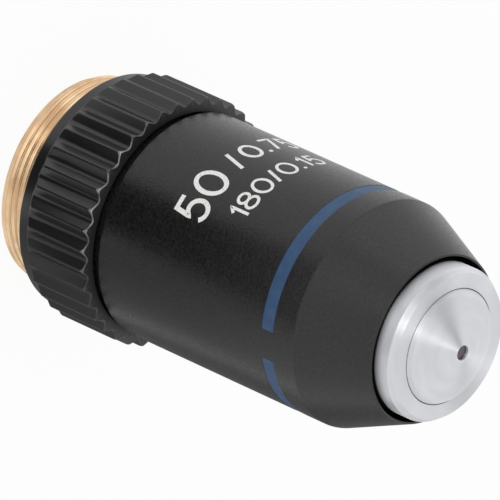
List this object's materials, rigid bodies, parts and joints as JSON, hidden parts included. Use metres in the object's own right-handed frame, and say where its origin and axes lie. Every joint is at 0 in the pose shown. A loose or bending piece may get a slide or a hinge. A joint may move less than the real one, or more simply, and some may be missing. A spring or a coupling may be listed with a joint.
{
  "type": "microscope objective",
  "caption": "Spring-loaded high-power microscope objective with a fluted grip ring, a coned black sleeve, a bright conical nose and a standard objective thread.",
  "frame": {"origin": "centre of the mounting shoulder, where the thread ends and the objective stops on a nosepiece", "axes": "+Z along the optical axis towards the nose, +X and +Y across it"},
  "size_m": [0.024, 0.024, 0.0488],
  "materials": {
    "mount_brass": "turned and lacquered brass",
    "grip_black": "glossy black anodising",
    "sleeve_black": "bead-blasted black anodising",
    "band_blue": "matt blue enamel fill",
    "screw_steel": "plain steel",
    "spring_steel": "drawn spring wire",
    "barrel_bright": "fine-turned bright satin metal",
    "cell_brass": "plain turned brass",
    "stop_black": "matt black anodising",
    "lens_glass": "polished optical glass"
  },
  "bodies": {
    "housing": {"thread_mount": "mount_brass", "grip_ring": "grip_black", "outer_sleeve": "sleeve_black", "colour_band": "band_blue", "guide_screw": "screw_steel", "coil_spring": "spring_steel", "parfocal_shim": "cell_brass"},
    "lens_unit": {"lens_barrel": "barrel_bright", "front_cell": "barrel_bright", "front_lens": "lens_glass", "meniscus_cell": "cell_brass", "meniscus_lens": "lens_glass", "adjusting_washer": "cell_brass", "middle_cell": "cell_brass", "middle_crown_lens": "lens_glass", "middle_flint_lens": "lens_glass", "spacer_ring": "stop_black", "rear_cell": "cell_brass", "rear_crown_lens": "lens_glass", "rear_flint_lens": "lens_glass", "aperture_stop": "stop_black", "lens_lock_ring": "stop_black"}
  },
  "joints": [
    {"name": "nose_retraction", "type": "slide", "parent": "housing", "child": "lens_unit", "axis": [0, 0, -1], "range_m": [0, 0.002], "stiffness_N_per_m": 335, "springref_m": -0.0059, "deforming": ["coil_spring"]}
  ]
}
